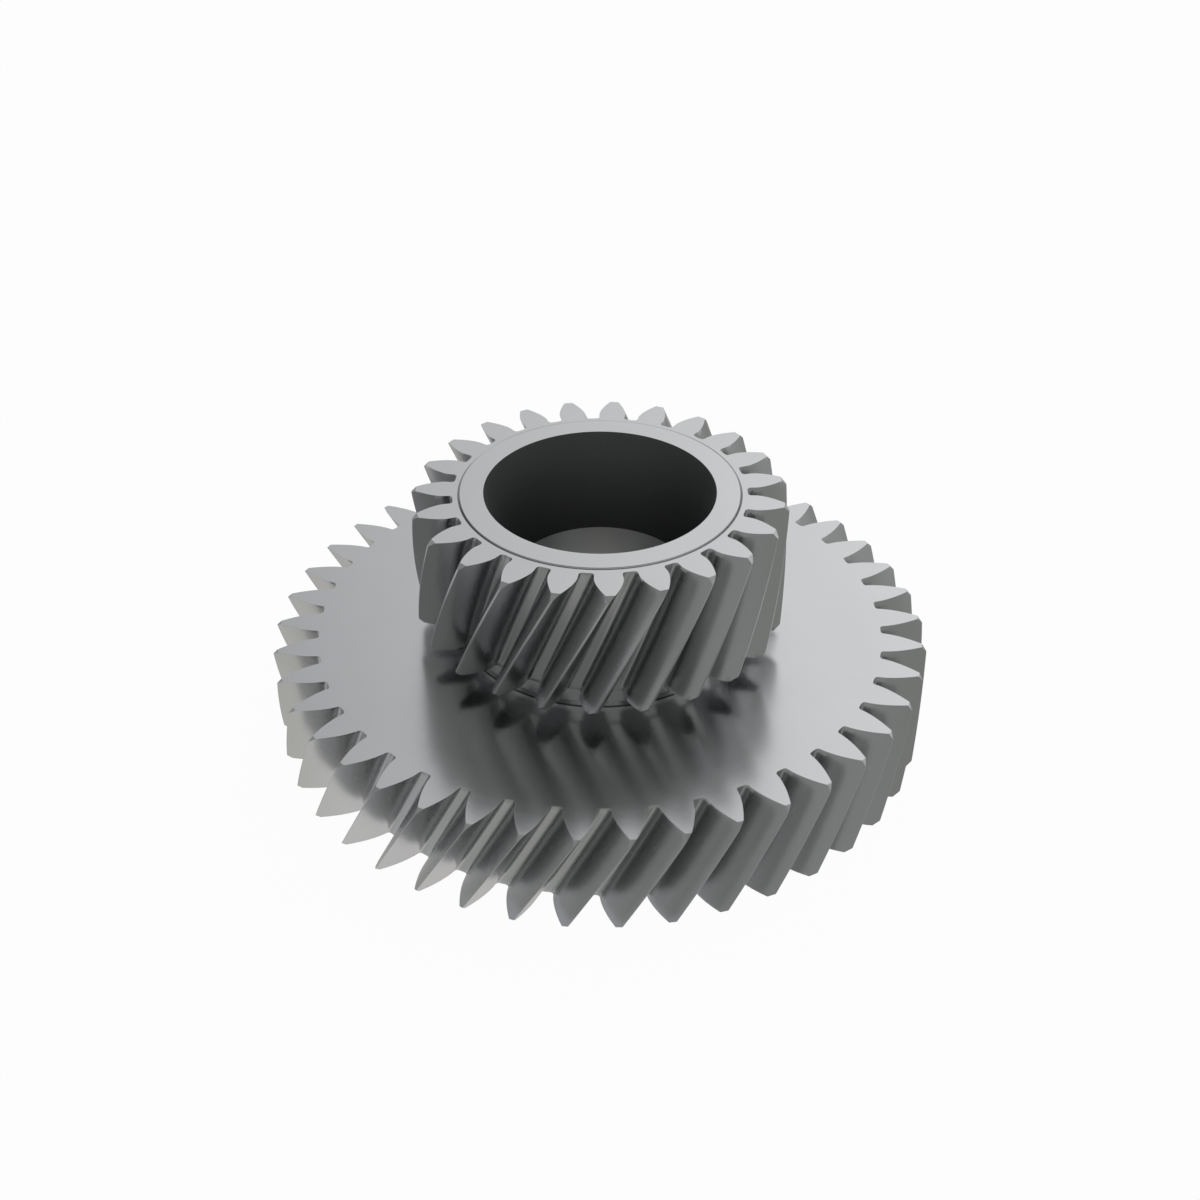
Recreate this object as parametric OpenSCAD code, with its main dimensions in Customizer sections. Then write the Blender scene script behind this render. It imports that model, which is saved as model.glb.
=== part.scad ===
// Idler gear: a large helical gear and a pinion cut on one steel blank.
// The axis is +Z. The origin is on the axis, in the large gear's lower face.

/* [Tooth form] */
// Normal module of both gears
normal_module = 2.3; // [2.1:0.05:2.5]
// Normal pressure angle of both gears, in degrees
pressure_angle = 20; // [18:0.5:22]
// Depth of a tooth below its reference circle with no shift, in modules
dedendum = 1.62; // [1.5:0.01:1.7]
// Radius where a flank meets the root
root_fillet = 0.5; // [0.2:0.05:0.6]
// Leg of the 45 degree chamfer on the ends of the teeth
tip_chamfer = 0.85; // [0.4:0.05:1.4]

/* [Large gear] */
// Number of teeth
gear_teeth = 42; // [38:1:48]
// Right-hand helix angle, in degrees
gear_helix = 28.4; // [22:0.2:30]
// Height of a tooth above its reference circle with no shift, in modules
gear_addendum = 1.86; // [1.5:0.01:1.88]
// Profile shift, in modules
gear_shift = -0.34; // [-0.45:0.01:-0.2]
// Face width
gear_face_w = 18.9; // [14:0.1:26]
// Angle of one tooth's middle at the upper face, in degrees from +X
gear_tooth_angle = 0.8; // [0:0.1:8.5]

/* [Pinion] */
// Number of teeth
pinion_teeth = 23; // [23:1:28]
// Right-hand helix angle, in degrees
pinion_helix = 24; // [20:0.2:27]
// Height of a tooth above its reference circle with no shift, in modules
pinion_addendum = 1.51; // [1.3:0.01:1.6]
// Profile shift, in modules
pinion_shift = 0.03; // [0:0.01:0.15]
// Face width
pinion_face_w = 23.6; // [19:0.1:30]
// Angle of one tooth's middle at the upper face, in degrees from +X
pinion_tooth_angle = 6.9; // [0:0.1:15.6]

/* [Neck and ring] */
// Clear height between the large gear's upper face and the pinion's teeth
neck_h = 3.7; // [2:0.1:8]
// How far the neck is set in from the roots of the pinion's teeth
neck_step = 1.1; // [0.4:0.1:1.6]
// Radius where the neck meets the large gear
neck_fillet = 0.95; // [0.4:0.05:1.5]
// Width of the raised ring round the mouth of the bore
ring_w = 4; // [2.5:0.1:4.4]
// Height of the raised ring
ring_h = 0.3; // [0.2:0.05:0.8]

/* [Bore] */
// Diameter of the through bore
bore_d = 32; // [24:0.5:34]
// Diameter of the tapered mouth at the ring
mouth_d = 40; // [37:0.5:40.5]
// Depth of the tapered mouth
mouth_depth = 18; // [8:0.5:24]
// Chamfer at the lower end of the bore
bore_chamfer = 1; // [0.4:0.1:2]

/* [Hidden] */
$fn = 180;

// Facets of the tooth gaps: along the flank, round the fillet and up the helix
flank_steps = 5;
fillet_steps = 2;
gear_slices = 3;
pinion_slices = 5;

bore_r = bore_d / 2;
mouth_r = mouth_d / 2;

gear_root_r = root_radius(gear_teeth, gear_helix, gear_shift);
gear_tip_r = tip_radius(gear_teeth, gear_helix, gear_shift, gear_addendum);
pinion_root_r = root_radius(pinion_teeth, pinion_helix, pinion_shift);
pinion_tip_r = tip_radius(pinion_teeth, pinion_helix, pinion_shift, pinion_addendum);
neck_r = pinion_root_r - neck_step;
ring_r = mouth_r + ring_w;

pinion_z = gear_face_w + neck_h;
pinion_top_z = pinion_z + pinion_face_w;
top_z = pinion_top_z + ring_h;

// A gap is cut this far past each end face, and this far past the tips
end_run = neck_h / 2;
tip_run = tip_chamfer;

// Helical gear geometry in the plane across the axis. Angles are in degrees.
function transverse_pressure(helix) = atan(tan(pressure_angle) / cos(helix));
function pitch_radius(teeth, helix) = teeth * normal_module / cos(helix) / 2;
function base_radius(teeth, helix) = pitch_radius(teeth, helix) * cos(transverse_pressure(helix));
function root_radius(teeth, helix, shift) =
    pitch_radius(teeth, helix) - normal_module * (dedendum - shift);
function tip_radius(teeth, helix, shift, addendum) =
    pitch_radius(teeth, helix) + normal_module * (addendum + shift);
function turn_per_mm(teeth, helix) = tan(helix) / pitch_radius(teeth, helix) * 180 / PI;
function involute(a) = tan(a) * 180 / PI - a;

// Half the angle of a tooth at its reference circle, and of a gap at the base circle
function tooth_half(teeth, shift) = (90 + 2 * shift * tan(pressure_angle) * 180 / PI) / teeth;
function gap_half(teeth, helix, shift) =
    180 / teeth - tooth_half(teeth, shift) - involute(transverse_pressure(helix));

function polar(r, a) = [r * cos(a), r * sin(a)];
function mirrored(points) = [for (i = [len(points) - 1 : -1 : 0]) [points[i].x, -points[i].y]];

// Radius at which the root fillet runs out into the flank
function fillet_end(root_r) = sqrt(pow(root_r + root_fillet, 2) - pow(root_fillet, 2));

// One side of a gap, from the root outwards: the root fillet, a straight flank up to
// the base circle where the fillet ends below it, then the involute
function fillet_side(root_r, half) =
    let (centre_r = root_r + root_fillet, centre_a = half - asin(root_fillet / centre_r))
    [for (i = [0 : fillet_steps])
        let (a = centre_a + 180 - i / fillet_steps * (90 - half + centre_a))
        polar(centre_r, centre_a) + polar(root_fillet, a)];
function flank_side(base_r, start_r, half, out_r) =
    let (roll_start = sqrt(pow(start_r / base_r, 2) - 1), roll_end = sqrt(pow(out_r / base_r, 2) - 1))
    [for (i = [1 : flank_steps])
        let (roll = roll_start + (roll_end - roll_start) * i / flank_steps)
        polar(base_r * sqrt(1 + roll * roll), half + involute(atan(roll)))];
function gap_outline(teeth, helix, shift, root_r, out_r) =
    let (
        base_r = base_radius(teeth, helix),
        half = gap_half(teeth, helix, shift),
        low_r = fillet_end(root_r),
        side = concat(
            fillet_side(root_r, half),
            low_r < base_r ? [polar(base_r, half)] : [],
            flank_side(base_r, max(low_r, base_r), half, out_r)
        )
    )
    concat(side, mirrored(side));

// The gaps between the teeth of one gear, whose lower face is at z = 0, as twisted bars
module tooth_gaps(teeth, helix, shift, root_r, tip_r, face_w, tooth_angle, slices) {
    rate = turn_per_mm(teeth, helix);
    run_h = face_w + 2 * end_run;
    first = tooth_angle + 180 / teeth - rate * (face_w + end_run);
    for (i = [0 : teeth - 1])
        rotate([0, 0, first + i * 360 / teeth])
            translate([0, 0, -end_run])
                linear_extrude(height = run_h, twist = -rate * run_h, slices = slices, segments = 1)
                    polygon(gap_outline(teeth, helix, shift, root_r, tip_r + tip_run));
}

// The turned blank: both toothed rims, the neck, the raised ring and the bore
module blank() {
    rotate_extrude()
        polygon([
            [bore_r + bore_chamfer, 0],
            [gear_tip_r - tip_chamfer, 0],
            [gear_tip_r, tip_chamfer],
            [gear_tip_r, gear_face_w - tip_chamfer],
            [gear_tip_r - tip_chamfer, gear_face_w],
            [neck_r, gear_face_w],
            [neck_r, pinion_z],
            [pinion_tip_r - tip_chamfer, pinion_z],
            [pinion_tip_r, pinion_z + tip_chamfer],
            [pinion_tip_r, pinion_top_z - tip_chamfer],
            [pinion_tip_r - tip_chamfer, pinion_top_z],
            [ring_r + ring_h, pinion_top_z],
            [ring_r, top_z],
            [mouth_r, top_z],
            [bore_r, top_z - mouth_depth],
            [bore_r, bore_chamfer]
        ]);
    rotate_extrude()
        difference() {
            translate([neck_r - neck_fillet, gear_face_w - neck_fillet])
                square(2 * neck_fillet);
            translate([neck_r + neck_fillet, gear_face_w + neck_fillet])
                circle(neck_fillet);
        }
}

module idler_gear() {
    color([0.74, 0.75, 0.76])
        difference() {
            blank();
            tooth_gaps(gear_teeth, gear_helix, gear_shift, gear_root_r, gear_tip_r,
                gear_face_w, gear_tooth_angle, gear_slices);
            translate([0, 0, pinion_z])
                tooth_gaps(pinion_teeth, pinion_helix, pinion_shift, pinion_root_r, pinion_tip_r,
                    pinion_face_w, pinion_tooth_angle, pinion_slices);
        }
}

idler_gear();
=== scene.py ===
import math

import bmesh
import bpy
from bpy.props import FloatProperty, FloatVectorProperty, IntProperty, PointerProperty
from mathutils import Matrix, Vector


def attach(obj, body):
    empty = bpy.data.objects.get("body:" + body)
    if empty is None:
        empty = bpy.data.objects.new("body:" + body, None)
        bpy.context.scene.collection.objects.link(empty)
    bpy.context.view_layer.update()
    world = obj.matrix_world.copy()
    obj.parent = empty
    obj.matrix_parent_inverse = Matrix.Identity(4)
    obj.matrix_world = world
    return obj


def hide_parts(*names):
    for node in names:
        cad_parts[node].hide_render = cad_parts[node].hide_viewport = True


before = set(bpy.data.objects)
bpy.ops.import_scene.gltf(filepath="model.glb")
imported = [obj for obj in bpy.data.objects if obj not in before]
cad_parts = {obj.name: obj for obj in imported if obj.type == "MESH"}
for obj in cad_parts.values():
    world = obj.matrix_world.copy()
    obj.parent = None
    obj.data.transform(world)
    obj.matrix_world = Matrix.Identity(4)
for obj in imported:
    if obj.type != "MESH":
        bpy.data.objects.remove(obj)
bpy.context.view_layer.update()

bl_info = {
    "name": "Helical Idler Gear",
    "version": (1, 0, 0),
    "blender": (4, 5, 0),
    "location": "3D View > Sidebar > Idler Gear",
    "description": "Models a helical idler gear with its pinion, and the studio round it",
    "category": "Add Mesh",
}

CAD_NODE = "idler_gear"
BODY = "root"
PIECE = "machined_gear"

AXIS = Vector((0.0, 0.0, 1.0))
CENTRE = (0.0, 0.0, 0.0)
WHITE = (1.0, 1.0, 1.0, 1.0)

# The camera at the photograph's viewing angle: its pitch from straight down, its lens and
# sensor in millimetres, and the nearest and furthest that it sees
CAMERA_PLACE = (0.0, -0.244356, 0.195558)
CAMERA_PITCH = math.radians(54.81)
CAMERA_LENS = 50.0
CAMERA_SENSOR = 36.0
CAMERA_CLIP = (0.01, 50.0)

# The studio's even light, and soft lights over it as azimuth from the back and height
# in degrees, colour, and the angle from the middle at which each has faded out
ROOM_COLOUR = (0.299, 0.305, 0.292)
SOFT_LIGHTS = (
    (-45, 30, (0.084, 0.083, 0.111), 45),
    (45, 30, (0.366, 0.351, 0.368), 45),
    (75, 30, (0.223, 0.237, 0.238), 45),
    (-150, 30, (0.042, 0.044, 0.054), 45),
    (0, 5, (0.514, 0.516, 0.533), 40),
    (25, 55, (0.518, 0.527, 0.545), 40),
    (-80, -20, (0.154, 0.158, 0.196), 45),
    (0, -60, (0.294, 0.265, 0.256), 45),
    (90, -60, (0.212, 0.217, 0.238), 45),
    (180, -60, (0.183, 0.181, 0.174), 45),
    (-90, -60, (0.139, 0.143, 0.132), 45),
)

# A soft light has its full colour up to this angle from its middle, in degrees
SOFT_LIGHT_CORE = 5

# The floor lies just under the gear, so that the two faces don't share one plane
FLOOR_PLACE = (0.0, 0.0, -0.00002)
FLOOR_RADIUS = 4.0
FLOOR_EDGES = 96
FLOOR_COLOUR = (0.82, 0.81, 0.8, 1.0)

# How much of what the camera sees of the floor is plain white, over its lit colour
WHITE_SHARE = 0.97

# Points closer than this are one point
MERGE_DISTANCE = 2e-6

# A corner this near a circle or a cutting plane is on it
CIRCLE_SLACK = 5e-5
CUT_SLACK = 1e-7

# Edges sharper than this are deburred, and stay crisp in the shading
SHARP_ANGLE = math.radians(38)
DEBURR_STEPS = 2

# The sides of a tooth's land are deburred where it is this many edge breaks wide
LAND_ROOM = 4

# A tooth's blank sides lie below its root by more than this share of the rim's thickness
SIDE_DEPTH = 0.2

# How far a face's normal points up or down: at most on a tooth's sides, on its flanks and
# roots and on the bore's wall, and from least to most on the tapered mouth
SIDE_TILT = 0.5
FLANK_TILT = 0.6
BORE_TILT = 0.1
TAPER_TILT = (0.1, 0.5)

# Corners of the neck's foot, outwards from the neck's wall and up from the web, in shares of
# the collar's height. The collar stands proud of the wall, over a small undercut.
FOOT_CORNERS = ((0, 1), (0.2, 0.98), (0.13, 0.2), (-0.15, 0.18), (-0.15, 0))

# Painted shade in the mouth, darker downwards into the recess: two heights, and the steel's share
# of its colour at each
MOUTH_PAINTED_SHADE = ((0.0285, 0.042), (0.5, 1.04))

# Tool marks a metre: fine ones, and the tooth cutter's, which run far up the teeth
FINE_MARKS = 2000.0
LONG_MARKS = 120.0

# Steel finishes in the order of the piece's material slots: name, size that holds the colour,
# roughness, tool marks across and up, their depth, and painted shade that darkens downwards
FINISHES = (
    ("Turned Steel", "steel", 0.2, FINE_MARKS, FINE_MARKS, 5e-7, None),
    ("Cut Steel", "steel", 0.26, FINE_MARKS, LONG_MARKS, 3e-7, None),
    # The mouth's dark colour and its downward darkening are painted shade in the recess, not a
    # blackened finish
    ("Blackened Steel", "mouth_steel", 0.55, FINE_MARKS, FINE_MARKS, 5e-7, MOUTH_PAINTED_SHADE),
    # The bore's darker colour is painted shade down the bore; its roughness is the honed finish
    ("Honed Steel", "bore_steel", 0.3, FINE_MARKS, FINE_MARKS, 5e-7, None),
)
CUT_SLOT, MOUTH_SLOT, BORE_SLOT = 1, 2, 3

# Index of refraction of every steel
STEEL_IOR = 2.5

# Stains change a steel's colour between these shares of it, and there are this many a metre
STAIN_SHARES = (0.96, 1.04)
STAIN_SCALE = 60.0

# Detail and roughness of the noise that draws the tool marks and the stains
MARK_NOISE = (2.0, 0.6)
STAIN_NOISE = (3.0, 0.55)

# Tool marks between these levels change the roughness by this much either way
MARK_LEVELS = (0.2, 0.8)
ROUGHNESS_SPREAD = 0.02


# Sizes that a user would change


class RimSizes:
    """Sizes that both toothed rims share."""

    flank_steps: IntProperty(
        name="Flank steps", description="Facets along one flank", default=12
    )
    fillet_steps: IntProperty(
        name="Fillet steps", description="Facets round a root fillet", default=5
    )


class LargeGearSizes(RimSizes, bpy.types.PropertyGroup):
    """Sizes of the large gear's rim."""

    teeth: IntProperty(name="Teeth", description="Number of teeth", default=42)
    helix: FloatProperty(
        name="Helix",
        description="Right-hand helix angle",
        default=math.radians(28.4),
        subtype="ANGLE",
    )
    addendum: FloatProperty(
        name="Addendum",
        description="Tooth height above the reference circle, in modules",
        default=1.86,
    )
    shift: FloatProperty(
        name="Shift", description="Profile shift, in modules", default=-0.34
    )
    low: FloatProperty(
        name="Lower face",
        description="Height of the lower face",
        default=0.0,
        unit="LENGTH",
    )
    face_width: FloatProperty(
        name="Face width",
        description="Width of the toothed face",
        default=0.0189,
        unit="LENGTH",
    )
    tooth_angle: FloatProperty(
        name="Tooth angle",
        description="Angle of one tooth's middle at the upper face, from +X",
        default=math.radians(0.8),
        subtype="ANGLE",
    )
    inner: FloatProperty(
        name="Inner radius",
        description="Where the rim meets the web",
        default=0.049,
        unit="LENGTH",
    )
    arc_steps: IntProperty(
        name="Arc steps", description="Facets of a pitch at the inner radius", default=8
    )
    slices: IntProperty(name="Slices", description="Facets up the helix", default=20)


class PinionSizes(RimSizes, bpy.types.PropertyGroup):
    """Sizes of the pinion's rim."""

    teeth: IntProperty(name="Teeth", description="Number of teeth", default=23)
    helix: FloatProperty(
        name="Helix",
        description="Right-hand helix angle",
        default=math.radians(24),
        subtype="ANGLE",
    )
    addendum: FloatProperty(
        name="Addendum",
        description="Tooth height above the reference circle, in modules",
        default=1.51,
    )
    shift: FloatProperty(
        name="Shift", description="Profile shift, in modules", default=0.03
    )
    low: FloatProperty(
        name="Lower face",
        description="Height of the lower face",
        default=0.0226,
        unit="LENGTH",
    )
    face_width: FloatProperty(
        name="Face width",
        description="Width of the toothed face",
        default=0.0237,
        unit="LENGTH",
    )
    tooth_angle: FloatProperty(
        name="Tooth angle",
        description="Angle of one tooth's middle at the upper face, from +X",
        default=math.radians(6.9),
        subtype="ANGLE",
    )
    inner: FloatProperty(
        name="Inner radius",
        description="Where the rim meets the hub",
        default=0.0249,
        unit="LENGTH",
    )
    arc_steps: IntProperty(
        name="Arc steps", description="Facets of a pitch at the inner radius", default=14
    )
    slices: IntProperty(name="Slices", description="Facets up the helix", default=26)


class GearSizes(bpy.types.PropertyGroup):
    """Sizes of the whole gear, and the colours of its steels."""

    large: PointerProperty(
        name="Large gear", description="Sizes of the large gear", type=LargeGearSizes
    )
    pinion: PointerProperty(
        name="Pinion", description="Sizes of the pinion", type=PinionSizes
    )
    module: FloatProperty(
        name="Normal module",
        description="Normal module of both rims",
        default=0.0023,
        unit="LENGTH",
    )
    pressure: FloatProperty(
        name="Pressure angle",
        description="Normal pressure angle",
        default=math.radians(20),
        subtype="ANGLE",
    )
    dedendum: FloatProperty(
        name="Dedendum",
        description="Tooth depth below the reference circle, in modules",
        default=1.62,
    )
    root_fillet: FloatProperty(
        name="Root fillet",
        description="Height of the fillet where a flank meets the root",
        default=0.00055,
        unit="LENGTH",
    )
    root_spread: FloatProperty(
        name="Root spread",
        description="Width of the root fillet over its height",
        default=1.2,
    )
    tip_chamfer: FloatProperty(
        name="Tip chamfer",
        description="Leg of the chamfer on the tooth ends",
        default=0.00085,
        unit="LENGTH",
    )
    edge_break: FloatProperty(
        name="Edge break",
        description="Width of the deburred edges",
        default=0.00003,
        unit="LENGTH",
    )
    bore: FloatProperty(
        name="Bore", description="Radius of the bore", default=0.016, unit="LENGTH"
    )
    bore_chamfer: FloatProperty(
        name="Bore chamfer",
        description="Leg of the chamfer at the bore's lower end",
        default=0.001,
        unit="LENGTH",
    )
    mouth: FloatProperty(
        name="Mouth",
        description="Radius of the tapered mouth",
        default=0.02,
        unit="LENGTH",
    )
    mouth_depth: FloatProperty(
        name="Mouth depth",
        description="Depth of the tapered mouth",
        default=0.018,
        unit="LENGTH",
    )
    ring_width: FloatProperty(
        name="Ring width",
        description="Width of the raised ring",
        default=0.00403,
        unit="LENGTH",
    )
    ring_height: FloatProperty(
        name="Ring height",
        description="Height of the raised ring",
        default=0.0002,
        unit="LENGTH",
    )
    groove_width: FloatProperty(
        name="Groove width",
        description="Width of the groove round the raised ring",
        default=0.0004,
        unit="LENGTH",
    )
    groove_depth: FloatProperty(
        name="Groove depth",
        description="Depth of the groove below the pinion's face",
        default=0.00045,
        unit="LENGTH",
    )
    neck_step: FloatProperty(
        name="Neck step",
        description="Inset of the neck from the pinion's roots",
        default=0.00035,
        unit="LENGTH",
    )
    collar_height: FloatProperty(
        name="Collar height",
        description="Height of the low collar at the neck's foot",
        default=0.00095,
        unit="LENGTH",
    )
    steel: FloatVectorProperty(
        name="Steel",
        description="Colour of the steel",
        default=(0.56, 0.565, 0.57),
        subtype="COLOR",
    )
    # Painted shade: the bore's colour is darker than the steel's, for the shade down the bore
    bore_steel: FloatVectorProperty(
        name="Bore steel",
        description="Colour of the honed bore, darkened as painted shade",
        default=(0.39, 0.395, 0.395),
        subtype="COLOR",
    )
    # Painted shade: the mouth's steel gets a dark colour for the shade deep in its recess
    mouth_steel: FloatVectorProperty(
        name="Mouth steel",
        description="Colour of the mouth's steel, darkened as painted shade",
        default=(0.19, 0.195, 0.197),
        subtype="COLOR",
    )


# Helical gear geometry in the plane across the axis


def polar(radius, angle, height=0.0):
    return Vector((radius * math.cos(angle), radius * math.sin(angle), height))


def radius_of(point):
    return math.hypot(point.x, point.y)


def involute(angle):
    return math.tan(angle) - angle


class Rim:
    """One toothed rim's radii and angles, worked out from the gear's sizes and its own."""

    def __init__(self, gear, sizes):
        self.gear = gear
        self.sizes = sizes
        self.pitch_angle = 2 * math.pi / sizes.teeth
        transverse = math.atan(math.tan(gear.pressure) / math.cos(sizes.helix))
        pitch_radius = sizes.teeth * gear.module / math.cos(sizes.helix) / 2
        tooth_half = (math.pi / 2 + 2 * sizes.shift * math.tan(gear.pressure)) / sizes.teeth
        self.base = pitch_radius * math.cos(transverse)
        self.root = pitch_radius - gear.module * (gear.dedendum - sizes.shift)
        self.tip = pitch_radius + gear.module * (sizes.addendum + sizes.shift)
        self.tip_roll = math.sqrt((self.tip / self.base) ** 2 - 1)
        self.turn_rate = math.tan(sizes.helix) / pitch_radius
        self.gap_half = self.pitch_angle / 2 - tooth_half - involute(transverse)
        self.low = sizes.low
        self.high = sizes.low + sizes.face_width
        self.low_angle = sizes.tooth_angle - self.turn_rate * sizes.face_width

    def land_width(self):
        """Width of the land at the tip of a tooth."""
        half = self.pitch_angle / 2 - self.gap_half - involute(math.atan(self.tip_roll))
        return 2 * self.tip * half

    def gap_side(self):
        """Points from the root circle to the tip, with angles from the gap's middle."""
        fillet = self.gear.root_fillet
        centre_radius = self.root + fillet
        centre_angle = self.gap_half - math.asin(fillet / centre_radius)
        centre = polar(centre_radius, centre_angle)
        sweep = math.pi / 2 - self.gap_half + centre_angle
        steps = self.sizes.fillet_steps
        points = []
        for i in range(steps + 1):
            point = centre + polar(fillet, centre_angle + math.pi - sweep * i / steps)
            inset = self.gap_half - math.atan2(point.y, point.x)
            points.append(polar(point.length, self.gap_half - self.gear.root_spread * inset))
        points.insert(0, polar(self.root, math.atan2(points[0].y, points[0].x) / 2))
        fillet_end = points[-1].length
        if fillet_end < self.base:
            points.append(polar((fillet_end + self.base) / 2, self.gap_half))
            points.append(polar(self.base, self.gap_half))
        roll_start = math.sqrt(max((fillet_end / self.base) ** 2 - 1, 0))
        steps = self.sizes.flank_steps
        for i in range(1, steps + 1):
            roll = roll_start + (self.tip_roll - roll_start) * i / steps
            angle = self.gap_half + involute(math.atan(roll))
            points.append(polar(self.base * math.sqrt(1 + roll * roll), angle))
        return points

    def tooth_outline(self):
        """One tooth from mid-gap to mid-gap round its tip, then back along the inner arc."""
        half = self.pitch_angle / 2
        turned = Matrix.Rotation(-half, 3, "Z")
        rising = [turned @ point for point in [polar(self.root, 0), *self.gap_side()]]
        falling = [Vector((point.x, -point.y, 0)) for point in reversed(rising)]
        steps = self.sizes.arc_steps
        arc = [
            polar(self.sizes.inner, half - self.pitch_angle * i / steps) for i in range(steps + 1)
        ]
        return [*rising, *falling, *arc]


# Modelling steps


def leave_edit_mode():
    if bpy.context.object is not None and bpy.context.object.mode != "OBJECT":
        bpy.ops.object.mode_set(mode="OBJECT")


def deselect_everything():
    leave_edit_mode()
    bpy.ops.object.select_all(action="DESELECT")


def turn(angle):
    """Turns what is selected about the gear's axis, anticlockwise from above.

    With no window, the operator turns the other way and needs the centre given.
    """
    bpy.ops.transform.rotate(
        value=-angle, orient_axis="Z", orient_type="GLOBAL", center_override=CENTRE
    )


def pick(kind, test):
    """Selects the vertices, edges or faces of the mesh being edited that pass a test."""
    bpy.ops.mesh.select_mode(type=kind)
    bpy.ops.mesh.select_all(action="DESELECT")
    piece = bpy.context.object
    mesh = bmesh.from_edit_mesh(piece.data)
    parts = {"VERT": mesh.verts, "EDGE": mesh.edges, "FACE": mesh.faces}[kind]
    found = [part for part in parts if test(part)]
    if not found:
        raise RuntimeError(f"{piece.name} has nothing of kind {kind} in the place looked for")
    for part in found:
        part.select_set(True)
    mesh.select_flush_mode()
    bmesh.update_edit_mesh(piece.data)


def draw_line(name, points, closed=False):
    """Draws a line of edges through the points, one extruded vertex at a time."""
    deselect_everything()
    bpy.ops.mesh.primitive_plane_add(size=MERGE_DISTANCE, location=CENTRE)
    bpy.context.object.name = name
    bpy.ops.object.mode_set(mode="EDIT")
    bpy.ops.mesh.select_mode(type="VERT")
    bpy.ops.mesh.select_all(action="SELECT")
    bpy.ops.mesh.merge(type="CENTER")
    bpy.ops.transform.translate(value=points[0])
    for here, there in zip(points, points[1:]):
        bpy.ops.mesh.extrude_vertices_move(TRANSFORM_OT_translate={"value": there - here})
    bpy.ops.mesh.select_all(action="SELECT")
    if closed:
        bpy.ops.mesh.edge_face_add()


def is_blank_side(face, rim):
    """True for the sides of a tooth's block that would lie inside the metal."""
    depth = rim.root - radius_of(face.calc_center_median())
    upright = abs(face.normal.z) < SIDE_TILT
    return upright and depth > SIDE_DEPTH * (rim.root - rim.sizes.inner)


def is_sharp_edge(edge, rim, round_land):
    """True for the edges of a tooth that get deburred."""
    if not edge.is_manifold or edge.calc_face_angle(0.0) < SHARP_ANGLE:
        return False
    a, b = (vert.co for vert in edge.verts)
    on_tip = min(radius_of(a), radius_of(b)) > rim.tip - MERGE_DISTANCE
    return round_land or not on_tip or abs(a.z - b.z) < MERGE_DISTANCE


def cut_chamfer(rim, height, angle, side):
    """Cuts one end of a tooth's tip off at 45 degrees."""
    outward = polar(1.0, angle)
    where = outward * (rim.tip - rim.gear.tip_chamfer)
    where.z = height
    bpy.ops.mesh.select_all(action="SELECT")
    bpy.ops.mesh.bisect(
        plane_co=where,
        plane_no=(outward + side * AXIS).normalized(),
        use_fill=True,
        clear_outer=True,
        threshold=CUT_SLACK,
    )


def model_rim(name, rim):
    """Models one tooth as a twisted block, then copies it round the axis."""
    start = Matrix.Rotation(rim.low_angle, 3, "Z")
    points = [start @ point + rim.low * AXIS for point in rim.tooth_outline()]
    draw_line(name, points, closed=True)
    rise = (rim.high - rim.low) / rim.sizes.slices
    for _ in range(rim.sizes.slices):
        bpy.ops.mesh.extrude_region_move(TRANSFORM_OT_translate={"value": (0, 0, rise)})
        turn(rim.turn_rate * rise)
    bpy.ops.mesh.select_all(action="SELECT")
    bpy.ops.mesh.normals_make_consistent(inside=False)
    cut_chamfer(rim, rim.high, rim.sizes.tooth_angle, 1)
    cut_chamfer(rim, rim.low, rim.low_angle, -1)
    pick("FACE", lambda face: is_blank_side(face, rim))
    bpy.ops.mesh.delete(type="FACE")
    edge_break = rim.gear.edge_break
    round_land = rim.land_width() > LAND_ROOM * edge_break
    pick("EDGE", lambda edge: is_sharp_edge(edge, rim, round_land))
    bpy.ops.mesh.bevel(
        offset=edge_break, segments=DEBURR_STEPS, profile=0.5, clamp_overlap=False
    )
    bpy.ops.mesh.select_all(action="SELECT")
    for _ in range(rim.sizes.teeth - 1):
        bpy.ops.mesh.duplicate()
        turn(rim.pitch_angle)
    bpy.ops.mesh.select_all(action="SELECT")
    bpy.ops.mesh.remove_doubles(threshold=MERGE_DISTANCE)
    leave_edit_mode()


def spin_profile(name, sizes, corners, start_angle, crisp=()):
    """Draws a profile of (radius, height) corners, deburrs the crisp ones and spins it."""
    draw_line(name, [Vector((radius, 0.0, height)) for radius, height in corners])
    if crisp:
        deburred = [Vector((radius, 0.0, height)) for radius, height in crisp]
        pick(
            "VERT",
            lambda vert: min((vert.co - point).length for point in deburred) < MERGE_DISTANCE,
        )
        bpy.ops.mesh.bevel(
            affect="VERTICES",
            offset=sizes.edge_break,
            segments=DEBURR_STEPS,
            clamp_overlap=False,
        )
    bpy.ops.mesh.select_mode(type="VERT")
    bpy.ops.mesh.select_all(action="SELECT")
    turn(start_angle)
    bpy.ops.mesh.spin(
        steps=sizes.large.teeth * sizes.large.arc_steps,
        angle=2 * math.pi,
        center=CENTRE,
        axis=AXIS,
        use_auto_merge=True,
    )
    bpy.ops.mesh.select_all(action="SELECT")
    bpy.ops.mesh.remove_doubles(threshold=MERGE_DISTANCE)
    leave_edit_mode()


def edge_on_circle(edge, radius, height):
    """True for an edge of a circle about the axis."""
    return all(
        abs(vert.co.z - height) < MERGE_DISTANCE
        and abs(radius_of(vert.co) - radius) < CIRCLE_SLACK
        for vert in edge.verts
    )


def fill_band(height, radii):
    """Fills the flat band between two circles of open edges."""
    pick(
        "EDGE",
        lambda edge: edge.is_boundary
        and any(edge_on_circle(edge, radius, height) for radius in radii),
    )
    bpy.ops.mesh.fill(use_beauty=True)


# Steel


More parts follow.
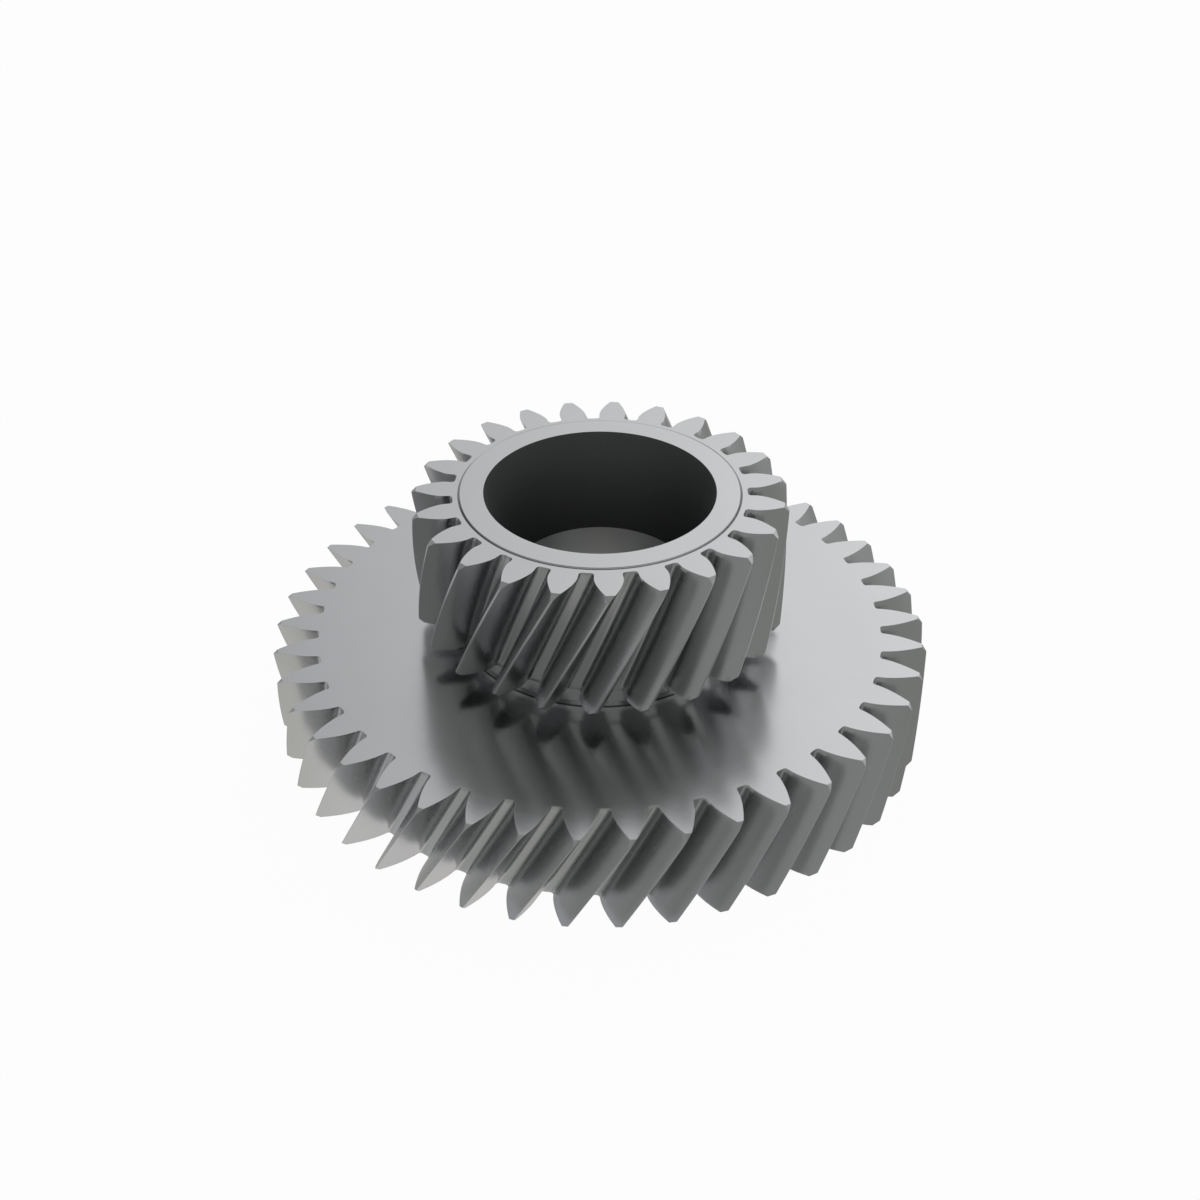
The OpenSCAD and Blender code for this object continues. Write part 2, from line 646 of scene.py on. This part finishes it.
def new_group(name, inputs, outputs):
    """A shader node group with number sockets, as (group, input node, output node)."""
    group = bpy.data.node_groups.new(name, "ShaderNodeTree")
    for label, default in inputs:
        socket = group.interface.new_socket(
            label, in_out="INPUT", socket_type="NodeSocketFloat"
        )
        socket.default_value = default
    for label in outputs:
        group.interface.new_socket(label, in_out="OUTPUT", socket_type="NodeSocketFloat")
    return group, group.nodes.new("NodeGroupInput"), group.nodes.new("NodeGroupOutput")


def add_node(tree, kind, **settings):
    node = tree.nodes.new(kind)
    for key, value in settings.items():
        setattr(node, key, value)
    return node


def math_node(tree, operation, first, second=None):
    """A Math node whose inputs are sockets or numbers. Returns its output."""
    node = add_node(tree, "ShaderNodeMath", operation=operation)
    for socket, value in zip(node.inputs, (first, second)):
        if isinstance(value, (int, float)):
            socket.default_value = value
        elif value is not None:
            tree.links.new(value, socket)
    return node.outputs[0]


def noise(tree, vector, detail, roughness):
    node = add_node(tree, "ShaderNodeTexNoise", noise_dimensions="3D")
    node.inputs["Scale"].default_value = 1.0
    node.inputs["Detail"].default_value = detail
    node.inputs["Roughness"].default_value = roughness
    tree.links.new(vector, node.inputs["Vector"])
    return node.outputs["Fac"]


def map_range(tree, value, source, target):
    """Maps a value from one range to another. Returns the Map Range node's output."""
    node = add_node(tree, "ShaderNodeMapRange")
    node.inputs["From Min"].default_value, node.inputs["From Max"].default_value = source
    node.inputs["To Min"].default_value, node.inputs["To Max"].default_value = target
    tree.links.new(value, node.inputs["Value"])
    return node.outputs["Result"]


def machining_group():
    """Tool marks that run round the axis or along the teeth, and faint handling stains."""
    group, entry, out = new_group(
        "Machining Marks",
        [("Across Scale", FINE_MARKS), ("Height Scale", FINE_MARKS), ("Stain Scale", STAIN_SCALE)],
        ["Marks", "Stain"],
    )
    place = add_node(group, "ShaderNodeTexCoord").outputs["Object"]
    split = add_node(group, "ShaderNodeSeparateXYZ")
    group.links.new(place, split.inputs[0])
    x, y, z = (split.outputs[axis] for axis in "XYZ")
    squares = math_node(
        group,
        "ADD",
        math_node(group, "MULTIPLY", x, x),
        math_node(group, "MULTIPLY", y, y),
    )
    radius = math_node(group, "SQRT", squares)
    across = math_node(group, "MULTIPLY", radius, entry.outputs["Across Scale"])
    up = math_node(group, "MULTIPLY", z, entry.outputs["Height Scale"])
    rings = add_node(group, "ShaderNodeCombineXYZ")
    group.links.new(across, rings.inputs["X"])
    group.links.new(up, rings.inputs["Y"])
    marks = noise(group, rings.outputs[0], *MARK_NOISE)
    stain_place = add_node(group, "ShaderNodeVectorMath", operation="SCALE")
    group.links.new(place, stain_place.inputs[0])
    group.links.new(entry.outputs["Stain Scale"], stain_place.inputs["Scale"])
    stain = noise(group, stain_place.outputs[0], *STAIN_NOISE)
    group.links.new(marks, out.inputs["Marks"])
    group.links.new(stain, out.inputs["Stain"])
    return group


def paint_shade_downwards(tree, colour, heights, shares):
    """Paints shade into a colour: multiplies it by a share that grows with height, so it is darker
    lower down. Returns the new colour.
    """
    split = add_node(tree, "ShaderNodeSeparateXYZ")
    tree.links.new(add_node(tree, "ShaderNodeTexCoord").outputs["Object"], split.inputs[0])
    level = map_range(tree, split.outputs["Z"], heights, shares)
    shade = add_node(tree, "ShaderNodeVectorMath", operation="SCALE")
    tree.links.new(colour, shade.inputs[0])
    tree.links.new(level, shade.inputs["Scale"])
    return shade.outputs["Vector"]


def steel(name, group, colour, roughness, across, height, mark_depth, painted_shade):
    """A satin steel with tool marks in its roughness and its surface, and painted shade that
    darkens it downwards where asked for.
    """
    material = bpy.data.materials.new(name)
    material.use_nodes = True
    tree = material.node_tree
    shader = tree.nodes["Principled BSDF"]
    shader.inputs["Metallic"].default_value = 1.0
    shader.inputs["IOR"].default_value = STEEL_IOR
    marks = add_node(tree, "ShaderNodeGroup", node_tree=group)
    marks.inputs["Across Scale"].default_value = across
    marks.inputs["Height Scale"].default_value = height
    marks.inputs["Stain Scale"].default_value = STAIN_SCALE
    tint = add_node(tree, "ShaderNodeMix", data_type="RGBA")
    for end, share in zip("AB", STAIN_SHARES):
        tint.inputs[end].default_value = (*[share * part for part in colour], 1)
    tree.links.new(marks.outputs["Stain"], tint.inputs["Factor"])
    shown = tint.outputs["Result"]
    # Painted shade, darker lower down in the mouth
    if painted_shade is not None:
        shown = paint_shade_downwards(tree, shown, *painted_shade)
    tree.links.new(shown, shader.inputs["Base Color"])
    roughnesses = (roughness - ROUGHNESS_SPREAD, roughness + ROUGHNESS_SPREAD)
    level = map_range(tree, marks.outputs["Marks"], MARK_LEVELS, roughnesses)
    tree.links.new(level, shader.inputs["Roughness"])
    bump = add_node(tree, "ShaderNodeBump")
    bump.inputs["Strength"].default_value = 1.0
    bump.inputs["Distance"].default_value = mark_depth
    tree.links.new(marks.outputs["Marks"], bump.inputs["Height"])
    tree.links.new(bump.outputs["Normal"], shader.inputs["Normal"])
    return material


def add_finishes(piece, sizes):
    """Gives the piece a material slot for each steel finish."""
    group = machining_group()
    for name, colour, *values in FINISHES:
        piece.data.materials.append(steel(name, group, tuple(getattr(sizes, colour)), *values))


def finish_faces(piece, slot, test):
    """Gives the faces that pass a test the finish of one material slot."""
    pick("FACE", test)
    piece.active_material_index = slot
    bpy.ops.object.material_slot_assign()


def is_cut_face(face, large, pinion):
    """True for the flanks and roots that the tooth cutter leaves."""
    middle = face.calc_center_median()
    rim = pinion if middle.z > pinion.low else large
    return radius_of(middle) > rim.root - MERGE_DISTANCE and abs(face.normal.z) < FLANK_TILT


def is_mouth_face(face, sizes, crease_height):
    """True for the tapered wall of the mouth."""
    middle = face.calc_center_median()
    least, most = TAPER_TILT
    tapered = sizes.bore < radius_of(middle) < sizes.mouth and least < face.normal.z < most
    return tapered and middle.z > crease_height


def is_bore_face(face, sizes, crease_height):
    """True for the plain wall of the bore below the mouth."""
    middle = face.calc_center_median()
    upright = radius_of(middle) < sizes.bore + CIRCLE_SLACK and abs(face.normal.z) < BORE_TILT
    return upright and middle.z < crease_height


# Operators


class IDLER_OT_large_rim(bpy.types.Operator):
    """Model the large helical rim, tooth by tooth"""

    bl_idname = "idler.large_rim"
    bl_label = "Large Rim"

    def execute(self, context):
        sizes = context.scene.idler_gear
        model_rim("large_rim", Rim(sizes, sizes.large))
        return {"FINISHED"}


class IDLER_OT_pinion_rim(bpy.types.Operator):
    """Model the pinion's helical rim, tooth by tooth"""

    bl_idname = "idler.pinion_rim"
    bl_label = "Pinion Rim"

    def execute(self, context):
        sizes = context.scene.idler_gear
        model_rim("pinion_rim", Rim(sizes, sizes.pinion))
        return {"FINISHED"}


class IDLER_OT_hub(bpy.types.Operator):
    """Turn the hub: the bore, the raised ring, the neck and the web"""

    bl_idname = "idler.hub"
    bl_label = "Hub"

    def execute(self, context):
        sizes = context.scene.idler_gear
        large, pinion = Rim(sizes, sizes.large), Rim(sizes, sizes.pinion)
        top = pinion.high + sizes.ring_height
        neck = pinion.root - sizes.neck_step
        ring = sizes.mouth + sizes.ring_width
        chamfer = [
            (sizes.bore + sizes.bore_chamfer, large.low),
            (sizes.bore, large.low + sizes.bore_chamfer),
        ]
        ring_face = [(sizes.mouth, top), (ring, top)]
        inside = [
            (sizes.large.inner, large.low),
            *chamfer,
            (sizes.bore, top - sizes.mouth_depth),
            *ring_face,
            (ring, pinion.high - sizes.groove_depth),
            (ring + sizes.groove_width, pinion.high),
        ]
        half_pitch = large.pitch_angle / 2
        low_start = large.low_angle - half_pitch
        spin_profile("hub_inside", sizes, inside, low_start, crisp=[*chamfer, *ring_face])
        foot = [
            (neck + outward * sizes.collar_height, large.high + up * sizes.collar_height)
            for outward, up in FOOT_CORNERS
        ]
        outside = [(neck, pinion.low), *foot, (sizes.large.inner, large.high)]
        spin_profile("hub_outside", sizes, outside, sizes.large.tooth_angle - half_pitch)
        return {"FINISHED"}


class IDLER_OT_one_piece(bpy.types.Operator):
    """Join the rims and the hub into one steel piece and finish its surfaces"""

    bl_idname = "idler.one_piece"
    bl_label = "One Piece"

    def execute(self, context):
        sizes = context.scene.idler_gear
        large, pinion = Rim(sizes, sizes.large), Rim(sizes, sizes.pinion)
        piece = self.join_parts(context)
        neck = pinion.root - sizes.neck_step
        groove_edge = sizes.mouth + sizes.ring_width + sizes.groove_width
        fill_band(pinion.low, (neck, sizes.pinion.inner))
        fill_band(pinion.high, (groove_edge, sizes.pinion.inner))
        bpy.ops.mesh.select_all(action="SELECT")
        bpy.ops.mesh.normals_make_consistent(inside=False)
        add_finishes(piece, sizes)
        crease = pinion.high + sizes.ring_height - sizes.mouth_depth
        finish_faces(piece, CUT_SLOT, lambda face: is_cut_face(face, large, pinion))
        finish_faces(piece, MOUTH_SLOT, lambda face: is_mouth_face(face, sizes, crease))
        finish_faces(piece, BORE_SLOT, lambda face: is_bore_face(face, sizes, crease))
        pick("EDGE", lambda edge: edge_on_circle(edge, sizes.bore, crease))
        bpy.ops.mesh.mark_sharp()
        self.smooth(piece)
        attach(piece, BODY)
        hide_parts(CAD_NODE)
        return {"FINISHED"}

    def join_parts(self, context):
        """Joins the rims and the hub into one mesh, which is left in edit mode."""
        deselect_everything()
        for name in ("large_rim", "pinion_rim", "hub_inside", "hub_outside"):
            bpy.data.objects[name].select_set(True)
        context.view_layer.objects.active = bpy.data.objects["large_rim"]
        bpy.ops.object.join()
        piece = context.object
        piece.name = PIECE
        piece.data.name = PIECE
        bpy.ops.object.mode_set(mode="EDIT")
        bpy.ops.mesh.select_mode(type="VERT")
        bpy.ops.mesh.select_all(action="SELECT")
        bpy.ops.mesh.remove_doubles(threshold=MERGE_DISTANCE)
        return piece

    def smooth(self, piece):
        """Shades the piece smooth between its crisp edges."""
        leave_edit_mode()
        bpy.ops.object.shade_smooth_by_angle(angle=SHARP_ANGLE, keep_sharp_edges=True)
        bpy.ops.object.modifier_add(type="WEIGHTED_NORMAL")
        piece.modifiers[-1].keep_sharp = True
        bpy.ops.object.modifier_apply(modifier=piece.modifiers[-1].name)


# Studio


def blend_shaders(tree, share, first, second):
    """Mixes two shaders by a mask. Returns the mixed shader's output."""
    mix = add_node(tree, "ShaderNodeMixShader")
    for socket, value in zip(mix.inputs, (share, first, second)):
        tree.links.new(value, socket)
    return mix.outputs[0]


def make_floor():
    """A plain pale floor, white to the camera with the gear's shadow.

    It is clear from below, and for mirrored and transmitted rays, so that the steel
    mirrors the studio's lower half and not a bright floor.
    """
    deselect_everything()
    bpy.ops.mesh.primitive_circle_add(
        vertices=FLOOR_EDGES, radius=FLOOR_RADIUS, fill_type="NGON", location=FLOOR_PLACE
    )
    floor = bpy.context.object
    floor.name = "studio_floor"
    material = bpy.data.materials.new("Pale Floor")
    material.use_nodes = True
    tree = material.node_tree
    tree.nodes.remove(tree.nodes["Principled BSDF"])
    matt = add_node(tree, "ShaderNodeBsdfDiffuse")
    matt.inputs["Color"].default_value = FLOOR_COLOUR
    glow = add_node(tree, "ShaderNodeEmission")
    glow.inputs["Color"].default_value = WHITE
    clear = add_node(tree, "ShaderNodeBsdfTransparent")
    ray = add_node(tree, "ShaderNodeLightPath").outputs
    seen = math_node(tree, "MULTIPLY", ray["Is Camera Ray"], WHITE_SHARE)
    mirrored = math_node(tree, "ADD", ray["Is Glossy Ray"], ray["Is Transmission Ray"])
    below = add_node(tree, "ShaderNodeNewGeometry").outputs["Backfacing"]
    hidden = math_node(tree, "MAXIMUM", mirrored, below)
    shown = blend_shaders(tree, seen, matt.outputs[0], glow.outputs[0])
    shown = blend_shaders(tree, hidden, shown, clear.outputs[0])
    tree.links.new(shown, tree.nodes["Material Output"].inputs["Surface"])
    floor.data.materials.append(material)


def soft_patch(tree, direction, light):
    """One soft patch of the studio's light, seen along a direction. Returns its colour."""
    azimuth, height, colour, outer = light
    azimuth, height = math.radians(azimuth), math.radians(height)
    toward = polar(math.cos(height), math.pi / 2 - azimuth, math.sin(height))
    facing = add_node(tree, "ShaderNodeVectorMath", operation="DOT_PRODUCT")
    tree.links.new(direction, facing.inputs[0])
    facing.inputs[1].default_value = toward
    level = add_node(tree, "ShaderNodeMapRange", interpolation_type="SMOOTHSTEP")
    level.inputs["From Min"].default_value = math.cos(math.radians(outer))
    level.inputs["From Max"].default_value = math.cos(math.radians(SOFT_LIGHT_CORE))
    tree.links.new(facing.outputs["Value"], level.inputs["Value"])
    tint = add_node(tree, "ShaderNodeVectorMath", operation="SCALE")
    tint.inputs[0].default_value = colour
    tree.links.new(level.outputs["Result"], tint.inputs["Scale"])
    return tint.outputs["Vector"]


def make_world():
    """An even room light with soft patches over it, and a white backdrop to the camera."""
    world = bpy.data.worlds.new("Studio")
    bpy.context.scene.world = world
    world.use_nodes = True
    tree = world.node_tree
    direction = add_node(tree, "ShaderNodeTexCoord").outputs["Generated"]
    room = add_node(tree, "ShaderNodeVectorMath", operation="ADD")
    room.inputs[0].default_value = ROOM_COLOUR
    total = room.outputs["Vector"]
    for light in SOFT_LIGHTS:
        more = add_node(tree, "ShaderNodeVectorMath", operation="ADD")
        tree.links.new(total, more.inputs[0])
        tree.links.new(soft_patch(tree, direction, light), more.inputs[1])
        total = more.outputs["Vector"]
    back = tree.nodes["Background"]
    tree.links.new(total, back.inputs["Color"])
    white = add_node(tree, "ShaderNodeBackground")
    white.inputs["Color"].default_value = WHITE
    seen = add_node(tree, "ShaderNodeLightPath").outputs["Is Camera Ray"]
    shown = blend_shaders(tree, seen, back.outputs[0], white.outputs[0])
    tree.links.new(shown, tree.nodes["World Output"].inputs["Surface"])


def make_camera():
    camera = bpy.data.objects.new("Camera", bpy.data.cameras.new("Camera"))
    bpy.context.scene.collection.objects.link(camera)
    camera.location = CAMERA_PLACE
    camera.rotation_euler = (CAMERA_PITCH, 0.0, 0.0)
    camera.data.lens = CAMERA_LENS
    camera.data.sensor_width = CAMERA_SENSOR
    camera.data.clip_start, camera.data.clip_end = CAMERA_CLIP
    bpy.context.scene.camera = camera


class IDLER_OT_studio(bpy.types.Operator):
    """Set up the floor, the light and the camera"""

    bl_idname = "idler.studio"
    bl_label = "Studio"

    def execute(self, context):
        context.scene.view_settings.view_transform = "Standard"
        make_floor()
        make_world()
        make_camera()
        return {"FINISHED"}


class IDLER_PT_panel(bpy.types.Panel):
    """The steps that build the gear and its studio"""

    bl_idname = "IDLER_PT_panel"
    bl_label = "Idler Gear"
    bl_space_type = "VIEW_3D"
    bl_region_type = "UI"
    bl_category = "Idler Gear"

    def draw(self, context):
        for step in STEPS:
            self.layout.operator(step)


STEPS = ("idler.studio", "idler.large_rim", "idler.pinion_rim", "idler.hub", "idler.one_piece")
CLASSES = (
    LargeGearSizes,
    PinionSizes,
    GearSizes,
    IDLER_OT_studio,
    IDLER_OT_large_rim,
    IDLER_OT_pinion_rim,
    IDLER_OT_hub,
    IDLER_OT_one_piece,
    IDLER_PT_panel,
)


def register():
    for made in CLASSES:
        bpy.utils.register_class(made)
    bpy.types.Scene.idler_gear = PointerProperty(
        name="Idler gear", description="Sizes and colours of the gear", type=GearSizes
    )


def unregister():
    del bpy.types.Scene.idler_gear
    for made in reversed(CLASSES):
        bpy.utils.unregister_class(made)


def main():
    register()
    for step in STEPS:
        area, name = step.split(".")
        getattr(getattr(bpy.ops, area), name)()


if __name__ == "__main__":
    main()
